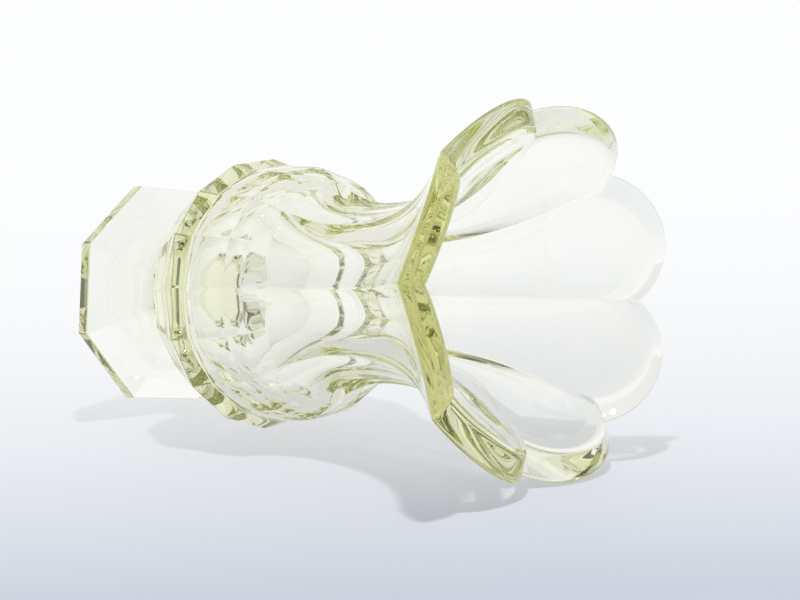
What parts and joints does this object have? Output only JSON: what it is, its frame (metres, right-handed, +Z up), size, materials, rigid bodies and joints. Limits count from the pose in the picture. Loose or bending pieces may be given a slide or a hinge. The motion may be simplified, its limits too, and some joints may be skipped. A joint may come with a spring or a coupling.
{
  "type": "fan vase",
  "caption": "Footed vase of heavy clear straw-tinted glass with a faceted bulb and a flaring fan mouth with scalloped lobes.",
  "frame": {"origin": "centre of the foot's underside", "axes": "+Z up along the vase's axis; +X through a notch between two lobes of the mouth"},
  "size_m": [0.1242, 0.1242, 0.196],
  "materials": {
    "glass": "polished"
  },
  "bodies": {
    "root": {"foot": "glass", "stem": "glass", "bowl": "glass", "mouth": "glass"}
  },
  "joints": []
}
